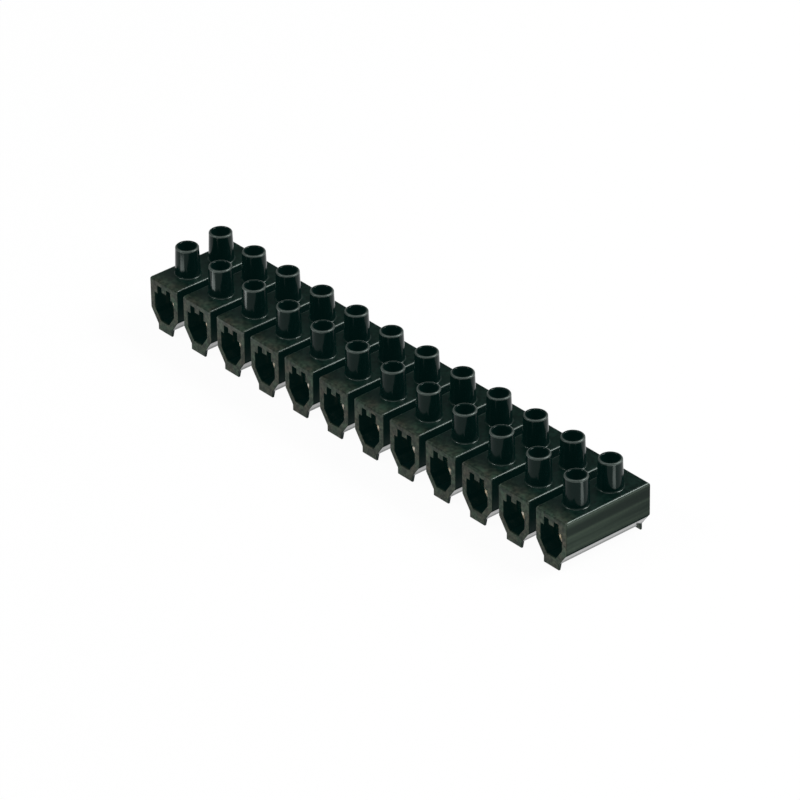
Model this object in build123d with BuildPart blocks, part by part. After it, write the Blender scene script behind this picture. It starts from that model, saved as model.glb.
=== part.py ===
from build123d import *
from math import hypot, sqrt
import os

# A terminal strip: one moulded row of insulating blocks, a brass clamp in each block,
# and two set screws in each clamp, reached through the round towers on top.
# Millimetres. X runs along the row, Y from wire mouth to wire mouth, Z up.
# The origin lies under the middle of the row, on the surface that the feet stand on.

# The row
poles = 12
pitch = 10.0

# One block, seen from its wire mouth
block_width = 8.2
block_depth = 20.5
block_top = 11.0  # the flat top
belly = 1.3  # the underside, between the feet
sole_width = 4.1  # the flat underside, between the two sloping lower sides
slope_start = 4.2  # the height where the upright sides turn inwards
edge_radius = 0.3  # the long top edges
foot_thickness = 0.8

# The walls around the channel that holds the clamp and takes the wires
side_wall = 1.25
floor_wall = 0.9
roof_wall = 3.0

# The two notches over each wire mouth, with a tooth between them
notch_outer = 1.95  # their outer sides, from the middle of the block
notch_height = 1.75
tooth_width = 1.4
tooth_drop = 1.05  # how far the tooth hangs below the notches' roof

# The screw towers
tower_height = 6.0
tower_spacing = 8.3  # from front tower to rear tower
tower_base_radius = 2.5
tower_rim_radius = 2.3
tower_bore_radius = 1.7

# The webs that join the blocks, with a fixing hole through each
web_depth = 6.4
web_top = 8.0
web_thickness = 3.4
fixing_radius = 1.6

# The brass clamp
clamp_setback = 3.4  # from the mouth of the block to the end of the clamp
clamp_clearance = 0.1
wire_radius = 1.8
clamp_floor = 0.7  # brass under the wire bore

# The set screws
screw_radius = 1.5
screw_length = 7.5
thread_clearance = 0.05
slot_width = 0.6
slot_depth = 0.9
screw_open = 0.8  # how far a screw can be backed out from rest
stop_gap = 0.05  # kept between the tip and the wall of the wire bore

# Heights and places that follow from the sizes above
half_width = block_width / 2
channel_floor = belly + floor_wall
channel_roof = block_top - roof_wall
notch_roof = channel_roof + notch_height
tooth_tip = notch_roof - tooth_drop
tower_top = block_top + tower_height
clamp_length = block_depth - 2 * clamp_setback
wire_axis = channel_floor + clamp_floor + wire_radius
gap = pitch - block_width

pole_x = [(i - (poles - 1) / 2) * pitch for i in range(poles)]
gap_x = [(a + b) / 2 for a, b in zip(pole_x, pole_x[1:])]
tower_y = [-tower_spacing / 2, tower_spacing / 2]
tower_spots = [(x, y) for x in pole_x for y in tower_y]

front = Plane.XZ.offset(block_depth / 2)
clamp_front = Plane.XZ.offset(clamp_length / 2)

# The sloping lower side of a block, as run and rise
slope_run = half_width - sole_width / 2
slope_rise = slope_start - belly
slope_length = hypot(slope_run, slope_rise)


def slope_x(z, inset):
    """Half width of the sloping sides at a height, moved square inwards by inset."""
    return sole_width / 2 + ((z - belly) * slope_run - inset * slope_length) / slope_rise


def slope_z(x, inset):
    """Height where the sloping side, moved inwards by inset, reaches a half width."""
    return belly + ((x - sole_width / 2) * slope_rise + inset * slope_length) / slope_run


def mirrored(side):
    """A closed outline from the points of its right side, bottom to top."""
    return side + [(-x, z) for x, z in reversed(side)]


block_outline = mirrored(
    [
        (sole_width / 2, belly),
        (half_width, slope_start),
        (half_width, block_top),
    ]
)

channel_half = half_width - side_wall
channel_outline = mirrored(
    [
        (slope_x(channel_floor, side_wall), channel_floor),
        (channel_half, slope_z(channel_half, side_wall)),
        (channel_half, channel_roof),
    ]
)

notch_outline = mirrored(
    [
        (notch_outer, wire_axis),
        (notch_outer, notch_roof),
        (tooth_width / 2, notch_roof),
        (tooth_width / 2, tooth_tip),
    ]
)

# The clamp stands on the channel's floor and keeps its clearance from the other walls
clamp_inset = side_wall + clamp_clearance
clamp_half = half_width - clamp_inset
clamp_top = channel_roof - clamp_clearance
clamp_outline = mirrored(
    [
        (slope_x(channel_floor, clamp_inset), channel_floor),
        (clamp_half, slope_z(clamp_half, clamp_inset)),
        (clamp_half, clamp_top),
    ]
)

# The moulded housing, in one piece
with BuildPart() as housing:
    # the blocks, with their long top edges rounded
    with BuildSketch(front):
        with Locations(*[(x, 0) for x in pole_x]):
            Polygon(*block_outline, align=None)
    extrude(amount=-block_depth)
    top_edges = housing.edges().filter_by(Axis.Y).group_by(Axis.Z)[-1]
    fillet(top_edges, edge_radius)

    # the webs between the blocks
    with BuildSketch(Plane.XY.offset(web_top)):
        with Locations(*[(x, 0) for x in gap_x]):
            Rectangle(gap + side_wall, web_depth)
    extrude(amount=-web_thickness)

    # the feet, at both ends of every block
    foot_y = (block_depth - foot_thickness) / 2
    with BuildSketch(Plane.XY):
        with Locations(*[(x, y) for x in pole_x for y in (-foot_y, foot_y)]):
            Rectangle(sole_width, foot_thickness)
    extrude(amount=channel_floor)

    # the screw towers, narrowing from base to rim
    with Locations(*[(x, y, block_top) for x, y in tower_spots]):
        Cone(
            tower_base_radius,
            tower_rim_radius,
            tower_height,
            align=(Align.CENTER, Align.CENTER, Align.MIN),
        )

    # the channel through every block
    with BuildSketch(front):
        with Locations(*[(x, 0) for x in pole_x]):
            Polygon(*channel_outline, align=None)
    extrude(amount=-block_depth, mode=Mode.SUBTRACT)

    # the notches over the wire mouths, as deep as the clamp is set back
    for start in (0, block_depth - clamp_setback):
        with BuildSketch(front.offset(-start)):
            with Locations(*[(x, 0) for x in pole_x]):
                Polygon(*notch_outline, align=None)
        extrude(amount=-clamp_setback, mode=Mode.SUBTRACT)

    # the bores of the towers, down into the channel
    with BuildSketch(Plane.XY.offset(tower_top)):
        with Locations(*tower_spots):
            Circle(tower_bore_radius)
    extrude(amount=wire_axis - tower_top, mode=Mode.SUBTRACT)

    # the fixing holes, through the webs and a little way into the blocks beside them
    with BuildSketch(Plane.XY.offset(block_top)):
        with Locations(*[(x, 0) for x in gap_x]):
            Circle(fixing_radius)
    extrude(amount=-block_top, mode=Mode.SUBTRACT)

housing.part.label = "housing"

# One brass clamp, made in the middle of the row
with BuildPart() as clamp:
    with BuildSketch(clamp_front):
        Polygon(*clamp_outline, align=None)
    extrude(amount=-clamp_length)
    with BuildSketch(clamp_front):
        with Locations((0, wire_axis)):
            Circle(wire_radius)
    extrude(amount=-clamp_length, mode=Mode.SUBTRACT)
    with BuildSketch(Plane.XY.offset(clamp_top)):
        with Locations(*[(0, y) for y in tower_y]):
            Circle(screw_radius + thread_clearance)
    extrude(amount=wire_axis - clamp_top, mode=Mode.SUBTRACT)

# One set screw at rest, its tip level with the roof of the wire bore
tip_rest = wire_axis + wire_radius
screw_top = tip_rest + screw_length
with BuildPart() as screw:
    with BuildSketch(Plane.XY.offset(tip_rest)):
        Circle(screw_radius)
    extrude(amount=screw_length)
    with BuildSketch(Plane.XY.offset(screw_top)):
        Rectangle(slot_width, 3 * screw_radius)
    extrude(amount=-slot_depth, mode=Mode.SUBTRACT)

# A screw closes until the rim of its tip meets the wall of the wire bore
tip_stop = wire_axis - sqrt(wire_radius**2 - screw_radius**2)
screw_close = tip_rest - tip_stop - stop_gap

os.makedirs("parts", exist_ok=True)
export_step(housing.part, "parts/housing.step")

for i, x in enumerate(pole_x):
    name = f"clamp_{i + 1:02d}"
    piece = clamp.part.moved(Location((x, 0, 0)))
    piece.label = name
    export_step(piece, f"parts/{name}.step")

for side, y in zip(("front", "rear"), tower_y):
    for i, x in enumerate(pole_x):
        name = f"screw_{side}_{i + 1:02d}"
        piece = screw.part.moved(Location((x, y, 0)))
        piece.label = name
        export_step(piece, f"parts/{name}.step")

print("housing solids:", len(housing.part.solids()))
print("size:", housing.part.bounding_box().size)
print("wire bore axis at height:", wire_axis)
print("clamp ends at:", clamp_length / 2)
print("screw top below the rim:", tower_top - screw_top)
print("screw travel, in and out:", screw_close, screw_open)
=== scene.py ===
from math import cos, hypot, pi, radians, sin
from types import SimpleNamespace

import bmesh
import bpy
from mathutils import Matrix, Quaternion, Vector


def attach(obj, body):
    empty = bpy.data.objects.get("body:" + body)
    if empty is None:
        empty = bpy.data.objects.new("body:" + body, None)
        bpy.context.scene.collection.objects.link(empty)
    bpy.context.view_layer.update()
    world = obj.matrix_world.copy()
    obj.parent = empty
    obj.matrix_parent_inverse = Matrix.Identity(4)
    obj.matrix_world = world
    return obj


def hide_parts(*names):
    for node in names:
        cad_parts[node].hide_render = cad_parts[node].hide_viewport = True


# A black terminal strip: one moulding with rounded edges, twelve brass clamps and
# twenty-four set screws, on a white table in soft studio light.
# Sizes are in millimetres, as in the part's own source, and become metres in the meshes.

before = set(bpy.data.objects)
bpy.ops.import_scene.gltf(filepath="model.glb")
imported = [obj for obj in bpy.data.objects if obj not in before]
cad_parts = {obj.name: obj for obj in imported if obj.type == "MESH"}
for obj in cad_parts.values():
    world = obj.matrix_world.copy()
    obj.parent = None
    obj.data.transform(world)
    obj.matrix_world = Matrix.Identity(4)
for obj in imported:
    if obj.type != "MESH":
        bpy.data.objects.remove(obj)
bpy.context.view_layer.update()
MM = 0.001

# The row
poles = 12
pitch = 10.0

# One block, seen from its wire mouth
block_width = 8.2
block_depth = 20.5
block_top = 11.0
belly = 1.3
sole_width = 4.1
slope_start = 4.2
foot_thickness = 0.8
foot_tip = 0.45  # the foot's thickness where it stands
side_wall = 1.25
floor_wall = 0.9
roof_wall = 3.0

# The notches and the tooth over each wire mouth
notch_outer = 1.95
notch_height = 1.75
tooth_width = 1.4
tooth_drop = 1.05

# The screw towers
tower_height = 6.0
tower_spacing = 8.3
tower_base_radius = 2.5
tower_rim_radius = 2.3
tower_bore_radius = 1.7
root_flare = 0.27
rim_round = 0.3
bore_round = 0.24

# The webs and their fixing holes
web_depth = 6.4
web_top = 8.0
web_thickness = 3.4
fixing_radius = 1.6

# The clamps
clamp_setback = 3.4
clamp_clearance = 0.1
clamp_edge = 0.12  # the rounding of the bar's edges
wire_radius = 1.8
clamp_floor = 0.7
bore_lip_radius = 1.4  # the bore narrows at both of its ends
bore_lip = 0.8
bore_chamfer = 0.22
thread_clearance = 0.05
countersink = 0.12

# The set screws
screw_radius = 1.5
screw_length = 7.5
slot_width = 0.6
slot_depth = 0.9
thread_pitch = 0.6
thread_height = 0.2
thread_rows = 5  # rings of points in each turn of the thread
tip_fade = 0.5  # the length over which the screw narrows at its tip
head_fade = 0.35  # and at its head
head_share = 0.05  # the part of the full width that is left at the head's rim
end_drop = 0.3  # how far the radius falls at both ends
screw_turn = 67  # degrees that each slot is turned from the one before
rear_turn = 41  # and the rear row from the front row

# Rounded edges of the moulding, as radii
top_edge = 0.42
front_top_edge = 0.55
face_edge = 0.16
keel_edge = 0.2
mouth_edge = 0.1
inner_edge = 0.06
edge_steps = 4

# The number of sides of the round forms
tower_sides = 72
hole_sides = 64
thread_hole_sides = 48
screw_sides = 32

# Steps in the small rounds of a tower: at its root, its rim and its bore
root_steps = 7
rim_steps = 5
bore_steps = 4

# Angles in degrees from which an edge is shaded as sharp
moulding_sharp = 35
clamp_sharp = 30
screw_sharp = 25

# How far forms reach past or into a surface that they cut or join, and how close two
# places are that count as one
overshoot = 1.0
tower_sink = 0.6
near = 0.01
weld_distance = 2e-4

# Places that follow from the sizes above
half_width = block_width / 2
half_depth = block_depth / 2
channel_floor = belly + floor_wall
channel_roof = block_top - roof_wall
notch_roof = channel_roof + notch_height
tooth_tip = notch_roof - tooth_drop
tower_top = block_top + tower_height
wire_axis = channel_floor + clamp_floor + wire_radius
clamp_half_length = half_depth - clamp_setback
clamp_top = channel_roof - clamp_clearance
pole_x = [(i - (poles - 1) / 2) * pitch for i in range(poles)]
tower_y = (-tower_spacing / 2, tower_spacing / 2)

slope_run = half_width - sole_width / 2
slope_rise = slope_start - belly
slope_length = hypot(slope_run, slope_rise)


def slope_x(z, inset):
    """Half width of the sloping sides at a height, moved square inwards by inset."""
    return sole_width / 2 + ((z - belly) * slope_run - inset * slope_length) / slope_rise


def slope_z(x, inset):
    """Height where the sloping side, moved inwards by inset, reaches a half width."""
    return belly + ((x - sole_width / 2) * slope_rise + inset * slope_length) / slope_run


def mirrored(side):
    """A closed outline from the points of its right side, bottom to top."""
    return side + [(-x, z) for x, z in reversed(side)]


# Mesh helpers


def link(made):
    """Puts an object into the scene."""
    bpy.context.scene.collection.objects.link(made)
    return made


def drop(made):
    """Removes an object together with its mesh."""
    mesh = made.data
    bpy.data.objects.remove(made)
    bpy.data.meshes.remove(mesh)


def mesh_object(name, bm, smooth_angle=40):
    """A finished object from a bmesh, with smooth shading split at its real edges."""
    bmesh.ops.recalc_face_normals(bm, faces=bm.faces)
    mesh = bpy.data.meshes.new(name)
    bm.to_mesh(mesh)
    bm.free()
    mesh.polygons.foreach_set("use_smooth", [True] * len(mesh.polygons))
    mesh.set_sharp_from_angle(angle=radians(smooth_angle))
    return link(bpy.data.objects.new(name, mesh))


def in_metres(bm):
    """A bmesh made in millimetres, brought to the scene's metres."""
    bmesh.ops.scale(bm, vec=(MM, MM, MM), verts=bm.verts)
    return bm


def evaluated(made):
    """The bmesh of an object with its modifiers applied. The object is removed."""
    depsgraph = bpy.context.evaluated_depsgraph_get()
    bm = bmesh.new()
    bm.from_mesh(made.evaluated_get(depsgraph).to_mesh())
    drop(made)
    return bm


def boolean(bm, tool, operation):
    """The union or difference of two closed bmeshes, which are both used up."""
    base = mesh_object("base", bm)
    cutter = mesh_object("cutter", tool)
    modifier = base.modifiers.new("cut", "BOOLEAN")
    modifier.operation = operation
    modifier.solver = "EXACT"
    modifier.object = cutter
    result = evaluated(base)
    drop(cutter)
    return result


def bridge(bm, first, second):
    """Faces between two rings of points. A ring on the axis is one point, repeated."""
    for k in range(len(first)):
        after = (k + 1) % len(first)
        corners = [first[k], first[after], second[after], second[k]]
        bm.faces.new(list(dict.fromkeys(corners)))


def revolve(profile, sides, x=0.0, y=0.0):
    """A closed bmesh from (radius, height) points turned round a vertical axis. The
    profile starts and ends on the axis, where radius is 0."""
    bm = bmesh.new()
    turns = [2 * pi * (k + 0.5) / sides for k in range(sides)]
    rings = []
    for radius, z in profile:
        if radius == 0:
            rings.append([bm.verts.new((x, y, z))] * sides)
        else:
            rings.append([bm.verts.new((x + radius * cos(t), y + radius * sin(t), z)) for t in turns])
    for low, high in zip(rings, rings[1:]):
        bridge(bm, low, high)
    bmesh.ops.recalc_face_normals(bm, faces=bm.faces)
    return bm


def arc(cx, cz, radius, start, end, steps):
    """Points of an arc in the plane of a profile, angles in degrees."""
    turns = [radians(start + (end - start) * k / steps) for k in range(steps + 1)]
    return [(cx + radius * cos(t), cz + radius * sin(t)) for t in turns]


def box(low, high):
    """A box between two opposite corners."""
    bm = bmesh.new()
    bmesh.ops.create_cube(bm, size=1.0)
    size = [b - a for a, b in zip(low, high)]
    middle = [(a + b) / 2 for a, b in zip(low, high)]
    bmesh.ops.scale(bm, vec=size, verts=bm.verts)
    bmesh.ops.translate(bm, vec=middle, verts=bm.verts)
    return bm


# One block of the moulding


def sharp_block():
    """The block with its feet, channel and notches, all edges still sharp."""
    bm = bmesh.new()
    corners = {}

    def corner(point):
        key = tuple(round(c, 5) for c in point)
        if key not in corners:
            corners[key] = bm.verts.new(key)
        return corners[key]

    def face(points):
        bm.faces.new([corner(p) for p in points])

    def lengthwise(side, a, b, start, end):
        """A face along Y between two (x, z) points, on one side of the block."""
        points = [(a, start), (b, start), (b, end), (a, end)]
        face([(side * x, y, z) for (x, z), y in points])

    def level(z, half):
        """A level face from the (x, y) points of one half. A half turn gives the rest."""
        face([(x, y, z) for x, y in half + [(-x, -y) for x, y in half]])

    def ledge(z, half, start, end):
        """A level face that runs inwards from the middle of a mouth's face."""
        points = [(-half, start), (0, start), (half, start), (half, end), (-half, end)]
        face([(x, y, z) for x, y in points])

    sole = sole_width / 2
    tooth = tooth_width / 2
    inner_sole = slope_x(channel_floor, side_wall)
    inner_half = half_width - side_wall
    foot = half_depth - foot_thickness

    # the right half of a mouth's face, outside and inside, from bottom to top
    outer = [
        (0, 0),
        (sole, 0),
        (sole, belly),
        (half_width, slope_start),
        (half_width, block_top),
        (0, block_top),
    ]
    channel = [
        (inner_sole, channel_floor),
        (inner_half, slope_z(inner_half, side_wall)),
        (inner_half, channel_roof),
    ]
    notch = [
        (notch_outer, channel_roof),
        (notch_outer, notch_roof),
        (tooth, notch_roof),
        (tooth, tooth_tip),
    ]
    inner = [(0, channel_floor)] + channel + notch + [(0, tooth_tip)]

    for end in (-1, 1):
        mouth_y = end * half_depth
        tip_y = end * (half_depth - foot_tip)
        foot_y = end * foot
        notch_y = end * clamp_half_length
        for side in (-1, 1):
            face([(side * x, mouth_y, z) for x, z in outer + inner[::-1]])
            foot_side = [(mouth_y, 0), (tip_y, 0), (foot_y, belly), (mouth_y, belly)]
            face([(side * sole, y, z) for y, z in foot_side])
            for a, b in zip(notch, notch[1:]):
                lengthwise(side, a, b, mouth_y, notch_y)
        # the foot's sole and inner side, the tooth's tip and the end of the notches
        ledge(0, sole, mouth_y, tip_y)
        face([(-sole, tip_y, 0), (sole, tip_y, 0), (sole, foot_y, belly), (-sole, foot_y, belly)])
        ledge(tooth_tip, tooth, mouth_y, notch_y)
        face([(x, notch_y, z) for x, z in mirrored(notch)])

    for side in (-1, 1):
        # the sloping side meets a foot at both of its ends
        slope = [(sole, y, belly) for y in (-half_depth, -foot, foot, half_depth)]
        slope += [(half_width, y, slope_start) for y in (half_depth, -half_depth)]
        face([(side * x, y, z) for x, y, z in slope])
        for a, b in (outer[3:5], channel[:2], channel[1:]):
            lengthwise(side, a, b, -half_depth, half_depth)

    # the underside, the top, the channel's floor and its roof
    level(belly, [(-sole, -foot), (sole, -foot)])
    level(block_top, [(x, -half_depth) for x in (-half_width, 0, half_width)])
    level(channel_floor, [(x, -half_depth) for x in (-inner_sole, 0, inner_sole)])
    roof = [(inner_half, half_depth), (inner_half, -half_depth), (notch_outer, -half_depth)]
    roof += [(notch_outer, -clamp_half_length), (-notch_outer, -clamp_half_length)]
    roof += [(-notch_outer, -half_depth)]
    level(channel_roof, roof)

    bmesh.ops.recalc_face_normals(bm, faces=bm.faces)
    assert all(e.is_manifold for e in bm.edges), "the block has an open edge"
    return bm


def edge_round(edge):
    """The radius that an edge of the sharp block is rounded to."""
    a, b = edge.verts[0].co, edge.verts[1].co
    middle = (a + b) / 2
    out = abs(middle.x)
    # flat and hollow edges stay as they are
    if edge.calc_face_angle_signed() < radians(5):
        return 0.0
    if out > half_width - near and a.z == b.z:
        return top_edge if middle.z > slope_start + near else keel_edge
    if abs(middle.y) > half_depth - near:
        if middle.z > block_top - near:
            return front_top_edge
        beside = out > half_width - side_wall / 2
        below = middle.z < channel_floor - floor_wall / 2
        on_slope = middle.z < slope_start and out > slope_x(middle.z, side_wall / 2)
        return face_edge if beside or below or on_slope else mouth_edge
    return mouth_edge if middle.z < belly + near else inner_edge


def rounded_block():
    """The block with its edges rounded, before the towers stand on it."""
    bm = sharp_block()
    widest = max(top_edge, front_top_edge, face_edge, keel_edge)
    rounds = [edge_round(e) for e in bm.edges]
    mesh = bpy.data.meshes.new("block")
    bm.to_mesh(mesh)
    bm.free()
    weights = mesh.attributes.new("bevel_weight_edge", "FLOAT", "EDGE")
    weights.data.foreach_set("value", [r / widest for r in rounds])
    made = link(bpy.data.objects.new("block", mesh))
    modifier = made.modifiers.new("round", "BEVEL")
    modifier.limit_method = "WEIGHT"
    modifier.offset_type = "OFFSET"
    modifier.width = widest
    modifier.segments = edge_steps
    modifier.use_clamp_overlap = False
    modifier.loop_slide = True
    return evaluated(made)


def tower(y):
    """A tower as a closed form, sunk a little into the block."""
    lean = (tower_base_radius - tower_rim_radius) / tower_height
    # the flare at the root, a quarter circle from the block's top to the tower's wall
    foot = tower_base_radius + root_flare - lean * root_flare
    profile = [(0, block_top - tower_sink), (foot, block_top - tower_sink)]
    profile += arc(foot, block_top + root_flare, root_flare, 270, 180, root_steps)
    profile += arc(tower_rim_radius - rim_round, tower_top - rim_round, rim_round, 0, 90, rim_steps)
    profile += [(0, tower_top)]
    return revolve(profile, tower_sides, y=y)


def tower_bore(y):
    """The bore of a tower with a rounded lip, as the form that is cut away."""
    lip = tower_bore_radius + bore_round
    profile = [(0, wire_axis), (tower_bore_radius, wire_axis)]
    profile += arc(lip, tower_top - bore_round, bore_round, 180, 90, bore_steps)
    profile += [(lip, tower_top + overshoot), (0, tower_top + overshoot)]
    return revolve(profile, tower_sides, y=y)


def half_web(side):
    """The half of a web that belongs to one block, from inside its wall."""
    start, end = sorted((side * (half_width - side_wall / 2), side * pitch / 2))
    low = (start, -web_depth / 2, web_top - web_thickness)
    high = (end, web_depth / 2, web_top)
    return box(low, high)


def fixing_hole(side):
    """The hole through a web, as the form that is cut away."""
    low, high = -overshoot, block_top + overshoot
    profile = [(0, low), (fixing_radius, low), (fixing_radius, high), (0, high)]
    return revolve(profile, hole_sides, x=side * pitch / 2)


def block(webs):
    """One block with its towers, and with a half web on each side named in webs."""
    bm = rounded_block()
    for y in tower_y:
        bm = boolean(bm, tower(y), "UNION")
    for side in webs:
        bm = boolean(bm, half_web(side), "UNION")
    for y in tower_y:
        bm = boolean(bm, tower_bore(y), "DIFFERENCE")
    for side in webs:
        bm = boolean(bm, fixing_hole(side), "DIFFERENCE")
    return bm


def open_web_ends(bm):
    """Takes away the web ends in the planes between two blocks, so that blocks join."""
    ends = [f for f in bm.faces if all(abs(abs(v.co.x) - pitch / 2) < weld_distance for v in f.verts)]
    bmesh.ops.delete(bm, geom=ends, context="FACES")


def moulding():
    """The whole housing: a row of blocks, joined through their webs."""
    whole = bmesh.new()
    # the first and the last block have a web on one side only
    kinds = (((0,), (1,)), (range(1, poles - 1), (-1, 1)), ((poles - 1,), (-1,)))
    for numbers, webs in kinds:
        one = block(webs)
        open_web_ends(one)
        mesh = bpy.data.meshes.new("one")
        one.to_mesh(mesh)
        one.free()
        for i in numbers:
            before = len(whole.verts)
            whole.from_mesh(mesh)
            whole.verts.ensure_lookup_table()
            bmesh.ops.translate(whole, vec=(pole_x[i], 0, 0), verts=whole.verts[before:])
        bpy.data.meshes.remove(mesh)
    bmesh.ops.remove_doubles(whole, verts=whole.verts, dist=weld_distance)
    print("housing open edges:", sum(not e.is_manifold for e in whole.edges))
    return mesh_object("housing_moulding", in_metres(whole), moulding_sharp)


def weigh_normals(made):
    """Keeps the flat faces flat beside their rounded edges."""
    modifier = made.modifiers.new("normals", "WEIGHTED_NORMAL")
    modifier.keep_sharp = True
    modifier.weight = 80


# One clamp and one set screw


def along_y(bm):
    """Turns a form made round the Z axis so that it lies along Y."""
    turn = Matrix.Rotation(radians(90), 3, "X")
    bmesh.ops.rotate(bm, cent=(0, 0, 0), matrix=turn, verts=bm.verts)
    return bm


def clamp_bar():
    """The drawn brass bar, its edges rounded, before it is bored."""
    inset = side_wall + clamp_clearance
    half = half_width - inset
    outline = mirrored(
        [
            (slope_x(channel_floor, inset), channel_floor),
            (half, slope_z(half, inset)),
            (half, clamp_top),
        ]
    )
    bm = bmesh.new()
    front = [bm.verts.new((x, -clamp_half_length, z)) for x, z in outline]
    rear = [bm.verts.new((x, clamp_half_length, z)) for x, z in outline]
    bm.faces.new(front)
    bm.faces.new(rear[::-1])
    bridge(bm, front, rear)
    bmesh.ops.recalc_face_normals(bm, faces=bm.faces)
    bmesh.ops.bevel(bm, geom=list(bm.edges), offset=clamp_edge, segments=2, profile=0.5, affect="EDGES")
    return bm


def wire_bore():
    """The clamp's bore, with a chamfered lip at both ends, as the form that is cut away."""
    wide = bore_lip_radius + bore_chamfer
    start = -clamp_half_length
    profile = [
        (0, start - overshoot),
        (wide, start - overshoot),
        (wide, start),
        (bore_lip_radius, start + bore_chamfer),
        (bore_lip_radius, start + bore_lip),
        (wire_radius, start + bore_lip),
    ]
    profile += [(radius, -z) for radius, z in reversed(profile)]
    bore = along_y(revolve(profile, hole_sides))
    bmesh.ops.translate(bore, vec=(0, 0, wire_axis), verts=bore.verts)
    return bore


def threaded_hole(y):
    """A screw's hole with a countersink at its top, as the form that is cut away."""
    hole = screw_radius + thread_clearance
    wide = hole + countersink
    profile = [(0, wire_axis), (hole, wire_axis), (hole, clamp_top - countersink), (wide, clamp_top)]
    profile += [(wide, clamp_top + overshoot), (0, clamp_top + overshoot)]
    return revolve(profile, thread_hole_sides, y=y)


def clamp_mesh():
    """A drawn brass bar, bored for the wires and drilled for the two screws."""
    bm = boolean(clamp_bar(), wire_bore(), "DIFFERENCE")
    for y in tower_y:
        bm = boolean(bm, threaded_hole(y), "DIFFERENCE")
    return in_metres(bm)


def screw_mesh():
    """A slotted set screw standing on the origin's plane, its thread turned round it."""
    rows = round(screw_length / thread_pitch * thread_rows)
    bm = bmesh.new()
    rings = []
    for j in range(rows + 1):
        z = screw_length * j / rows
        full = min(1, z / tip_fade, (screw_length - z) / head_fade + head_share)
        ring = []
        for k in range(screw_sides):
            turn = 2 * pi * k / screw_sides
            phase = (z / thread_pitch - k / screw_sides) % 1
            groove = abs(2 * phase - 1)
            radius = screw_radius - thread_height * groove - end_drop * (1 - full)
            ring.append(bm.verts.new((radius * cos(turn), radius * sin(turn), z)))
        rings.append(ring)
    bm.faces.new(rings[0][::-1])
    bm.faces.new(rings[-1])
    for low, high in zip(rings, rings[1:]):
        bridge(bm, low, high)
    bmesh.ops.recalc_face_normals(bm, faces=bm.faces)
    slot_low = (-slot_width / 2, -2 * screw_radius, screw_length - slot_depth)
    slot_high = (slot_width / 2, 2 * screw_radius, screw_length + overshoot)
    return in_metres(boolean(bm, box(slot_low, slot_high), "DIFFERENCE"))


# Colours of the plastic, as linear values without its reflections. Several hold painted light and
# shade: the faces, the end sides, the roots and the rims are painted lighter, and the gaps, the bend
# and the channel darker. The faint light over the darkest places is a painted glow.
# the faces: brown and green patches at random, painted lighter than the tops and towers as painted
# light
face_brown_painted_light = (0.048, 0.039, 0.028)
face_green_painted_light = (0.028, 0.05, 0.031)
# the sides at the two ends of the row: flow streaks, painted lighter than the sides in the gaps as
# painted light, with painted highlight lines and a painted shade band
side_dark = (0.0085, 0.0145, 0.0085)
side_light = (0.021, 0.031, 0.021)
side_painted_highlight = (0.029, 0.042, 0.028)
side_painted_shade = (0.004, 0.0075, 0.004)
# painted shade in the gaps between the blocks and along the bend above the slopes
painted_deep_shade = (0.0008, 0.005, 0.004)
top_dark = (0.0008, 0.0048, 0.003)
top_light = (0.0033, 0.0095, 0.007)
# painted shade inside the channel
channel_painted_shade = (0.0006, 0.0032, 0.0032)
tower_colour = (0.0008, 0.004, 0.0035)
# painted sheen on the towers' roots and on the rims' outer rounding
root_painted_sheen = (0.006, 0.012, 0.01)
rim_painted_sheen = (0.042, 0.052, 0.047)
# a painted glow that the plastic and the brass give off, lifting the darkest places
painted_glow = (0.0004, 0.0045, 0.0038)  # the faint light that lies over the darkest places
reflection_tint = (0.86, 1.0, 0.93)

# How strongly each place reflects, and how rough it is from one patch to another
block_specular = 0.25
face_specular = 0.13
side_specular = 0.1
edge_specular = 0.5
root_specular = 0.42
tower_specular = 0.13
rim_specular = 0.6
dull_specular = 0.1
block_rough = (0.3, 0.42)
tower_rough = (0.1, 0.17)
root_rough = 0.25
rim_rough = 0.38

# Painted highlight lines and a painted shade band along the sides at the two ends of the row, as
# heights in mm
painted_highlight_heights = (10.7, 7.7, 5.0)
painted_shade_height = 9.0
# painted light: the sides are painted brighter at the front and darker at the rear
side_painted_light_fade = (1.2, 0.7)  # the sides' brightness at the front and at the rear

# The tops carry a share of the faces' painted light at the front, so they are painted lighter there
# than at the rear. It fades between two distances from the mouths, and the tops are dull at the rear
painted_front_light_share = 0.58
painted_front_light_fade = (0.25, 3.45)
wall_share = 0.3  # the faces' share of the tops' colour, along their upper edge
dull_start = -7.0
dull_end = 4.0

# The long top edges gleam over this width
edge_width = 0.5
edge_fade = 0.08

# Smudges darken and lighten the faces and tops by these factors
smudge_range = (0.45, 1.6)

# Noise scales count the patches in a metre
cloud_scale = 420
smudge_scale = 1500
grain_scale = 9000
plating_scale = 900
scratch_scale = 7000
flow_stretch = (700, 45, 900)
drawn_stretch = (6000, 60, 6000)

# Metals
# brass: stains at random, with painted shade on the cut ends and a near-white painted highlight on the
# bores and the rest
brass_stain_and_shade = ((0.2, 0.13, 0.07), (0.6, 0.5, 0.36))
brass_stain_and_highlight = ((0.7, 0.58, 0.4), (0.98, 0.95, 0.88))
zinc_colours = ((0.52, 0.52, 0.5), (0.78, 0.77, 0.74))


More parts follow.
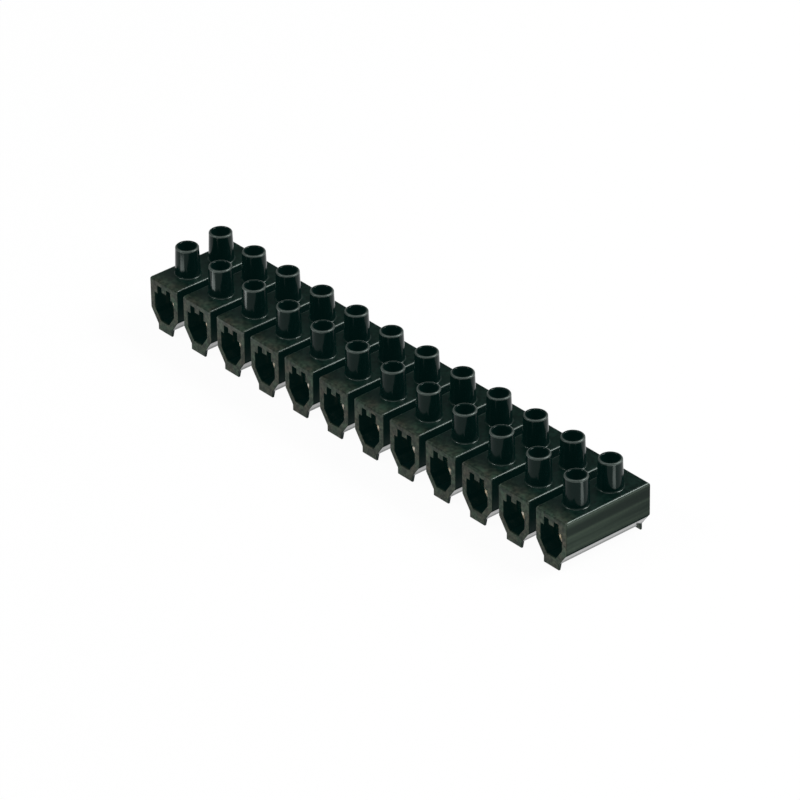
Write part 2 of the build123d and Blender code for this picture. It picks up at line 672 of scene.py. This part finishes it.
class Nodes:
    """Short calls for building a material's nodes."""

    def __init__(self, name):
        self.material = bpy.data.materials.new(name)
        self.material.use_nodes = True
        self.tree = self.material.node_tree
        self.shader = self.tree.nodes["Principled BSDF"]
        self.output = self.tree.nodes["Material Output"]
        coordinates = self.add("ShaderNodeTexCoord")
        self.place = coordinates.outputs["Object"]
        self.facing = coordinates.outputs["Normal"]

    def add(self, kind, links=(), **values):
        """A node of a kind, with its values set and its inputs linked."""
        node = self.tree.nodes.new(kind)
        for name, value in values.items():
            if hasattr(node, name):
                setattr(node, name, value)
            else:
                node.inputs[name.replace("_", " ").title()].default_value = value
        for name, source in dict(links).items():
            self.tree.links.new(source, node.inputs[name])
        return node

    def split(self, vector):
        """The X, Y and Z of a vector."""
        return tuple(self.add("ShaderNodeSeparateXYZ", {"Vector": vector}).outputs)

    def noise(self, scale, detail=3.0, stretch=(1, 1, 1)):
        """Noise in the piece's own frame, from 0 to 1."""
        mapping = self.add("ShaderNodeMapping", {"Vector": self.place}, Scale=stretch)
        vector = {"Vector": mapping.outputs[0]}
        return self.add("ShaderNodeTexNoise", vector, Scale=scale, Detail=detail).outputs["Fac"]

    def ramp(self, source, low, high, start=0.3, end=0.7):
        """Low up to where the source is start, high from where it is end."""
        limits = {"From_Min": start, "From_Max": end, "To_Min": low, "To_Max": high}
        return self.add("ShaderNodeMapRange", {"Value": source}, **limits).outputs[0]

    def rise(self, source, start, end, low=0.0, high=1.0):
        """Low up to a place in mm, and high beyond another."""
        return self.ramp(source, low, high, start * MM, end * MM)

    def fall(self, source, start, end, low=0.0, high=1.0):
        """High up to a place in mm, and low beyond another."""
        return self.ramp(source, high, low, start * MM, end * MM)

    def band(self, source, middle, inner, outer):
        """1 within inner mm of a place along the source, and 0 beyond outer mm."""
        return self.fall(self.absolute(self.minus(source, middle * MM)), inner, outer)

    def inverse(self, share):
        """1 where a share is 0 and 0 where it is 1."""
        return self.ramp(share, 1.0, 0.0, 0, 1)

    def blend(self, source, first, second, start=0.3, end=0.7):
        """The first colour up to where the source is start, the second from end."""
        made = self.add("ShaderNodeValToRGB", {"Fac": source})
        stops = made.color_ramp.elements
        for stop, position, colour in zip(stops, (start, end), (first, second)):
            stop.position = position
            stop.color = (*colour, 1)
        return made.outputs["Color"]

    def mix(self, share, first, second):
        """The first colour where share is 0 and the second where it is 1."""
        made = self.add("ShaderNodeMix", data_type="RGBA")
        self.tree.links.new(share, made.inputs["Factor"])
        for socket, colour in zip(("A", "B"), (first, second)):
            slot = [s for s in made.inputs if s.name == socket and s.type == "RGBA"][0]
            if isinstance(colour, tuple):
                slot.default_value = (*colour, 1)
            else:
                self.tree.links.new(colour, slot)
        return [s for s in made.outputs if s.type == "RGBA"][0]

    def mix_value(self, share, first, second):
        """The first number where share is 0 and the second where it is 1."""
        made = self.add("ShaderNodeMix", data_type="FLOAT")
        for socket, source in zip(("Factor", "A", "B"), (share, first, second)):
            slot = [s for s in made.inputs if s.name == socket and s.type == "VALUE"][0]
            if isinstance(source, float):
                slot.default_value = source
            else:
                self.tree.links.new(source, slot)
        return made.outputs["Result"]

    def scaled(self, colour, factor):
        """A colour made brighter or darker by a factor."""
        links = {0: colour, "Scale": factor}
        return self.add("ShaderNodeVectorMath", links, operation="SCALE").outputs[0]

    def absolute(self, source):
        return self.add("ShaderNodeMath", {0: source}, operation="ABSOLUTE").outputs[0]

    def minus(self, source, amount):
        made = self.add("ShaderNodeMath", {0: source}, operation="SUBTRACT")
        made.inputs[1].default_value = amount
        return made.outputs[0]

    def times(self, first, *others):
        """The product of two or more sources."""
        made = first
        for other in others:
            made = self.add("ShaderNodeMath", {0: made, 1: other}, operation="MULTIPLY").outputs[0]
        return made

    def in_row(self, x):
        """The distance along the row from the middle of the nearest block."""
        steps = self.add("ShaderNodeMath", {0: x}, operation="WRAP")
        steps.inputs[1].default_value = pitch * MM
        steps.inputs[2].default_value = 0.0
        return self.minus(steps.outputs[0], pitch / 2 * MM)

    def from_axis(self, x, y):
        """The distance from the axis of the nearest tower."""
        from_row = self.minus(self.absolute(y), tower_spacing / 2 * MM)
        flat = self.add("ShaderNodeCombineXYZ", {"X": x, "Y": from_row}).outputs[0]
        return self.add("ShaderNodeVectorMath", {0: flat}, operation="LENGTH").outputs["Value"]

    def bump(self, source, height_mm, strength=1.0, normal=None):
        """A normal that follows a source as if it were a height."""
        links = {"Height": source}
        if normal is not None:
            links["Normal"] = normal
        made = self.add("ShaderNodeBump", links, Strength=strength, Distance=height_mm * MM)
        return made.outputs["Normal"]

    def to_shader(self, **sources):
        """Links the shader's inputs, with _ for each space in their names."""
        for name, source in sources.items():
            self.tree.links.new(source, self.shader.inputs[name.replace("_", " ")])

    def set_shader(self, **values):
        """Sets the shader's own values, also for viewers that drop its links."""
        for name, value in values.items():
            self.shader.inputs[name.replace("_", " ")].default_value = value


def moulding_parts(m):
    """The parts of the moulding, each as a share from 0 to 1, and its Y and Z."""
    x, y, z = m.split(m.place)
    facing_x, facing_y, facing_z = m.split(m.facing)
    in_row = m.in_row(x)
    across = m.absolute(in_row)
    on = SimpleNamespace(y=y, z=z)

    # what faces up, down and sideways, by the share of its normal that does
    on.upwards = m.ramp(facing_z, 0.0, 1.0, 0.4, 0.8)
    on.downwards = m.ramp(facing_z, 1.0, 0.0, -0.56, -0.48)
    on.sideways = m.ramp(m.absolute(facing_x), 0.0, 1.0, 0.5, 0.8)
    endways = m.ramp(m.absolute(facing_y), 0.0, 1.0, 0.6, 0.8)

    # the towers with their roots and rims
    on.tower = m.rise(z, block_top + 0.01, block_top + 0.05)
    on.root = m.times(on.tower, m.fall(z, block_top + root_flare - 0.05, block_top + root_flare + 0.1))
    rim_start = tower_top - rim_round
    rim_inner = tower_rim_radius - rim_round
    outer_wall = m.rise(m.from_axis(in_row, y), rim_inner - 0.08, rim_inner + 0.04)
    on.rim = m.times(m.rise(z, rim_start - 0.1, rim_start + 0.05), outer_wall)
    on.tower_wall = m.times(m.rise(z, block_top + 0.05, block_top + 0.4), m.inverse(on.rim))

    # the blocks' faces, sides and tops. The outermost sides are those of the end blocks.
    on_block = m.inverse(on.tower)
    on.face = m.times(endways, on_block)
    on.side = m.times(on.sideways, on_block)
    on.end_block = m.rise(m.absolute(x), pole_x[-1] - 3, pole_x[-1] + 3)
    on.dull_top = m.times(on.upwards, on_block, m.rise(y, dull_start, dull_end))
    beside, under = half_width - edge_width, block_top - edge_width
    on.long_edge = m.times(
        m.rise(across, beside, beside + edge_fade),
        m.rise(z, under, under + edge_fade),
    )

    # a duller line runs along the lower edge of the bright slopes, and a dark line of painted shade
    # along the upper
    lower = m.rise(z, belly + 0.8, belly + 1.1, low=0.5)
    on.slope = m.times(lower, m.fall(z, slope_start - 0.7, slope_start - 0.4))
    upper = m.rise(z, slope_start - 0.75, slope_start - 0.5)
    on.bend = m.times(upper, m.fall(z, slope_start, slope_start + 0.25), on.sideways)

    # the channel, from a little way inside the mouth, which is painted dark as painted shade
    inner_half = half_width - side_wall
    on.channel = m.times(
        m.fall(across, inner_half + 0.02, inner_half + 0.3),
        m.fall(m.absolute(y), half_depth - 0.5, half_depth - 0.1),
        m.fall(z, notch_roof + 0.05, notch_roof + 0.2),
        m.rise(z, channel_floor - 0.3, channel_floor - 0.02),
    )
    return on


def side_colour(m, on, flow):
    """The upright sides. Between the blocks and along the bend above the slopes they carry painted
    shade. At the two ends they are painted lighter, in flow streaks, with painted highlight lines, a
    painted shade band, and painted light that fades from front to rear.
    """
    side = m.blend(flow, side_dark, side_light, 0.41, 0.59)
    # painted highlight lines and a painted shade band
    for height in painted_highlight_heights:
        side = m.mix(m.band(on.z, height, 0.05, 0.5), side, side_painted_highlight)
    side = m.mix(m.band(on.z, painted_shade_height, 0.5, 1.1), side, side_painted_shade)
    # painted light, brighter at the front and darker at the rear
    side = m.scaled(side, m.ramp(on.y, *side_painted_light_fade, -half_depth * MM, half_depth * MM))
    # painted shade on the sides in the gaps and along the bend
    side = m.mix(on.end_block, painted_deep_shade, side)
    return m.mix(on.bend, side, painted_deep_shade)


def moulding_colour(m, on, cloud, flow):
    """The plastic's colour all over the moulding. It holds painted light on the faces, the end sides,
    the fronts of the tops, the roots and the rims, and painted shade in the gaps, along the bend and in
    the channel.
    """
    # the faces' colour, painted lighter as painted light
    face = m.blend(cloud, face_brown_painted_light, face_green_painted_light)
    # the faces' painted light fades towards the tops, and the tops take on the faces' painted light at
    # the front
    high = m.rise(on.z, notch_roof - 0.45, notch_roof + 0.55, high=wall_share)
    # painted light on the front of the tops, fading towards the rear
    fade_start, fade_end = (distance - half_depth for distance in painted_front_light_fade)
    painted_front_light = m.fall(on.y, fade_start, fade_end, high=painted_front_light_share)
    top = m.mix(painted_front_light, m.blend(cloud, top_dark, top_light), face)
    smudge = m.ramp(m.noise(smudge_scale, 4), *smudge_range, 0.36, 0.64)
    walls = m.scaled(m.mix(high, face, top_light), smudge)
    walls = m.mix(on.sideways, walls, side_colour(m, on, flow))
    colour = m.mix(on.upwards, walls, m.scaled(top, smudge))
    # painted shade in the channel
    colour = m.mix(on.channel, colour, channel_painted_shade)
    colour = m.mix(on.tower_wall, colour, tower_colour)
    # painted sheen on the roots and the rims
    colour = m.mix(on.root, colour, root_painted_sheen)
    return m.mix(on.rim, colour, rim_painted_sheen)


def moulding_gloss(m, on):
    """The strength of the plastic's reflections all over the moulding."""
    gloss = m.mix_value(on.tower_wall, block_specular, tower_specular)
    steps = (
        (on.dull_top, dull_specular),
        (on.face, face_specular),
        (on.side, m.mix_value(on.end_block, dull_specular, side_specular)),
        (on.bend, 0.0),
        (on.root, root_specular),
        (on.rim, rim_specular),
        (on.long_edge, edge_specular),
    )
    for share, level in steps:
        gloss = m.mix_value(share, gloss, level)
    return gloss


def black_plastic():
    """The moulding's plastic: polished towers, satin blocks, slopes that shine. Its colour holds
    painted light and shade, and it gives off a faint painted glow.
    """
    m = Nodes("black_plastic")
    on = moulding_parts(m)
    cloud = m.noise(cloud_scale, 4)
    flow = m.noise(1.0, 5, flow_stretch)
    grain = m.noise(grain_scale, 2)
    rough = m.mix_value(on.tower, m.ramp(flow, *block_rough), m.ramp(cloud, *tower_rough))
    rough = m.mix_value(on.root, rough, root_rough)
    rough = m.mix_value(on.rim, rough, rim_rough)
    m.to_shader(
        Base_Color=moulding_colour(m, on, cloud, flow),
        Roughness=rough,
        Specular_IOR_Level=moulding_gloss(m, on),
        Coat_Weight=m.times(on.downwards, on.slope),
        Normal=m.bump(grain, 0.004, 0.5, m.bump(flow, 0.01, 0.3)),
    )
    # the specular level set here is for viewers that don't read the linked one
    m.set_shader(
        IOR=1.5,
        Specular_IOR_Level=side_specular,
        Specular_Tint=(*reflection_tint, 1),
        Coat_Roughness=0.08,
        Coat_IOR=1.95,
        # a faint painted glow
        Emission_Color=(*painted_glow, 1),
        Emission_Strength=1.0,
    )
    return m.material


def brass():
    """Drawn brass, painted darker on its cut ends as painted shade, and near-white on its bores and
    other faces as a painted highlight. Each clamp has its own stains.
    """
    m = Nodes("brass")
    each = m.add("ShaderNodeObjectInfo").outputs["Random"]
    m.place = m.add("ShaderNodeVectorMath", {0: m.place, 1: each}, operation="ADD").outputs[0]
    stain = m.noise(cloud_scale, 3)
    drawn = m.noise(1.0, 3, drawn_stretch)
    facing_y = m.split(m.facing)[1]
    in_bore = m.ramp(m.absolute(facing_y), 1.0, 0.0, 0.85, 0.97)
    # painted shade on the cut ends and a near-white painted highlight on the bores and the rest
    painted_end_shade = m.blend(stain, *brass_stain_and_shade, 0.4, 0.6)
    painted_highlight = m.blend(stain, *brass_stain_and_highlight, 0.4, 0.6)
    m.to_shader(
        Base_Color=m.mix(in_bore, painted_end_shade, painted_highlight),
        Roughness=m.ramp(drawn, 0.2, 0.4),
        Normal=m.bump(drawn, 0.004, 0.6),
    )
    # with the same faint painted glow
    m.set_shader(Metallic=1.0, Emission_Color=(*painted_glow, 1), Emission_Strength=1.0)
    return m.material


def zinc_steel():
    """The screws' plated steel."""
    m = Nodes("zinc_steel")
    fine = m.noise(scratch_scale, 2)
    m.to_shader(
        Base_Color=m.blend(m.noise(plating_scale, 4), *zinc_colours),
        Roughness=m.ramp(fine, 0.25, 0.45),
        Normal=m.bump(fine, 0.003, 0.5),
    )
    m.set_shader(Metallic=1.0)
    return m.material


def dress(piece, material):
    """Gives a piece its material. Copies of the piece share it with its mesh."""
    piece.data.materials.clear()
    piece.data.materials.append(material)


# The pieces

housing = moulding()
weigh_normals(housing)
dress(housing, black_plastic())
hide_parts("housing")
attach(housing, "strip")

clamp_shape = mesh_object("clamp_shape", clamp_mesh(), clamp_sharp)
screw_shape = mesh_object("screw_shape", screw_mesh(), screw_sharp)
dress(clamp_shape, brass())
dress(screw_shape, zinc_steel())

for i, x in enumerate(pole_x):
    node = f"clamp_{i + 1:02d}"
    piece = clamp_shape.copy()
    piece.name = f"brass_clamp_{i + 1:02d}"
    piece.location = (x * MM, 0, 0)
    link(piece)
    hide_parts(node)
    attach(piece, "strip")

# at rest the tip of a screw is level with the roof of the wire bore
tip_rest = wire_axis + wire_radius
for side, y in zip(("front", "rear"), tower_y):
    for i, x in enumerate(pole_x):
        node = f"screw_{side}_{i + 1:02d}"
        turn = i * screw_turn + (side == "rear") * rear_turn
        piece = screw_shape.copy()
        piece.name = f"set_{node}"
        piece.location = (x * MM, y * MM, tip_rest * MM)
        piece.rotation_euler = (0, 0, radians(turn % 180))
        link(piece)
        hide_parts(node)
        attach(piece, node)
bpy.data.objects.remove(clamp_shape)
bpy.data.objects.remove(screw_shape)

# The white table and the room. The camera sees them plain white, and so do the
# reflections in part. The table still takes the shadow.
table_size = 3.0
seen_share = 0.96
reflected_share = 0.85
room_strength = 0.2


def white_surface():
    """A white that takes shadows, and that looks plain white to the camera."""
    white = Nodes("white_table")
    path = white.add("ShaderNodeLightPath")

    def share_of(ray, amount):
        made = white.add("ShaderNodeMath", {0: path.outputs[ray]}, operation="MULTIPLY")
        made.inputs[1].default_value = amount
        return made.outputs[0]

    def larger(first, second):
        return white.add("ShaderNodeMath", {0: first, 1: second}, operation="MAXIMUM").outputs[0]

    share = larger(share_of("Is Camera Ray", seen_share), share_of("Is Glossy Ray", reflected_share))
    share = larger(share, share_of("Is Transmission Ray", seen_share))
    glow = white.add("ShaderNodeEmission", Strength=1.0)
    mix = white.add("ShaderNodeMixShader", {"Fac": share})
    white.set_shader(Base_Color=(0.9, 0.9, 0.9, 1), Roughness=0.9, Specular_IOR_Level=0.0)
    white.tree.links.new(white.shader.outputs[0], mix.inputs[1])
    white.tree.links.new(glow.outputs[0], mix.inputs[2])
    white.tree.links.new(mix.outputs[0], white.output.inputs["Surface"])
    return white.material


def white_room():
    """A world of soft light that the camera sees as plain white."""
    world = bpy.data.worlds.new("room")
    bpy.context.scene.world = world
    world.use_nodes = True
    tree = world.node_tree
    sky = tree.nodes["Background"]
    sky.inputs["Color"].default_value = (1.0, 1.0, 0.99, 1)
    sky.inputs["Strength"].default_value = room_strength
    seen_sky = tree.nodes.new("ShaderNodeBackground")
    seen_sky.inputs["Strength"].default_value = 1.0
    choose = tree.nodes.new("ShaderNodeMixShader")
    path = tree.nodes.new("ShaderNodeLightPath")
    tree.links.new(path.outputs["Is Camera Ray"], choose.inputs["Fac"])
    tree.links.new(sky.outputs[0], choose.inputs[1])
    tree.links.new(seen_sky.outputs[0], choose.inputs[2])
    tree.links.new(choose.outputs[0], tree.nodes["World Output"].inputs["Surface"])


table_mesh = bmesh.new()
bmesh.ops.create_grid(table_mesh, x_segments=1, y_segments=1, size=table_size)
table = mesh_object("table", table_mesh)
dress(table, white_surface())
white_room()

# Lamps


def area_lamp(name, width, height, radiance):
    """An area lamp of a size in metres, at a plain level."""
    lamp = bpy.data.lights.new(name, "AREA")
    lamp.shape = "RECTANGLE"
    lamp.size = width
    lamp.size_y = height
    lamp.energy = radiance * pi * width * height
    return bpy.data.objects.new(name, lamp)


def aim(made, place, back):
    """Puts an object at a place in metres, with its back to a direction."""
    made.location = place
    made.rotation_mode = "QUATERNION"
    made.rotation_quaternion = back.to_track_quat("Z", "Y")
    return link(made)


def softbox(name, direction, distance, width, height, radiance):
    """An area lamp that looks at the middle of the strip from a direction."""
    towards = Vector(direction).normalized()
    aim(area_lamp(name, width, height, radiance), towards * distance, towards)


def panel(name, x, y, width, depth, radiance):
    """A small light panel on the table beside the strip, facing up. The end towers
    mirror it as an upright streak. Sizes and places in millimetres."""
    made = area_lamp(name, width * MM, depth * MM, radiance)
    aim(made, (x * MM, y * MM, 0.5 * MM), Vector((0, 0, -1)))
    made.visible_camera = False
    made.visible_diffuse = False


softbox("softbox_back", (0.42, 0.553, 0.72), 0.9, 0.5, 0.22, 20.0)
softbox("softbox_top", (0.0, -0.05, 1.0), 0.9, 0.4, 0.4, 2.5)
softbox("softbox_front", (-0.317, -0.636, 0.702), 0.9, 0.3, 0.14, 16.0)
panel("panel_left", -54, -31, 17, 10, 8.5)
panel("panel_right", 85, -1, 14, 12, 7.0)

# The camera, fitted to the photograph. Its view is nearly parallel.
azimuth = radians(49.455)
elevation = radians(31.667)
roll = radians(-0.936)
distance = 1.0964
target = Vector((-0.006245, 0.00704, 0))
focal_pixels = 5826
frame_pixels = 800
sensor_width = 36

back = Vector((sin(azimuth) * cos(elevation), -cos(azimuth) * cos(elevation), sin(elevation)))
camera = link(bpy.data.objects.new("camera", bpy.data.cameras.new("camera")))
camera.data.sensor_width = sensor_width
camera.data.lens = focal_pixels / frame_pixels * sensor_width
camera.data.clip_start = 0.05
camera.data.clip_end = 20
camera.location = target + back * distance
camera.rotation_mode = "QUATERNION"
camera.rotation_quaternion = (-back).to_track_quat("-Z", "Y") @ Quaternion((0, 0, 1), roll)
bpy.context.scene.camera = camera
bpy.context.scene.view_settings.view_transform = "Standard"

bpy.context.view_layer.update()
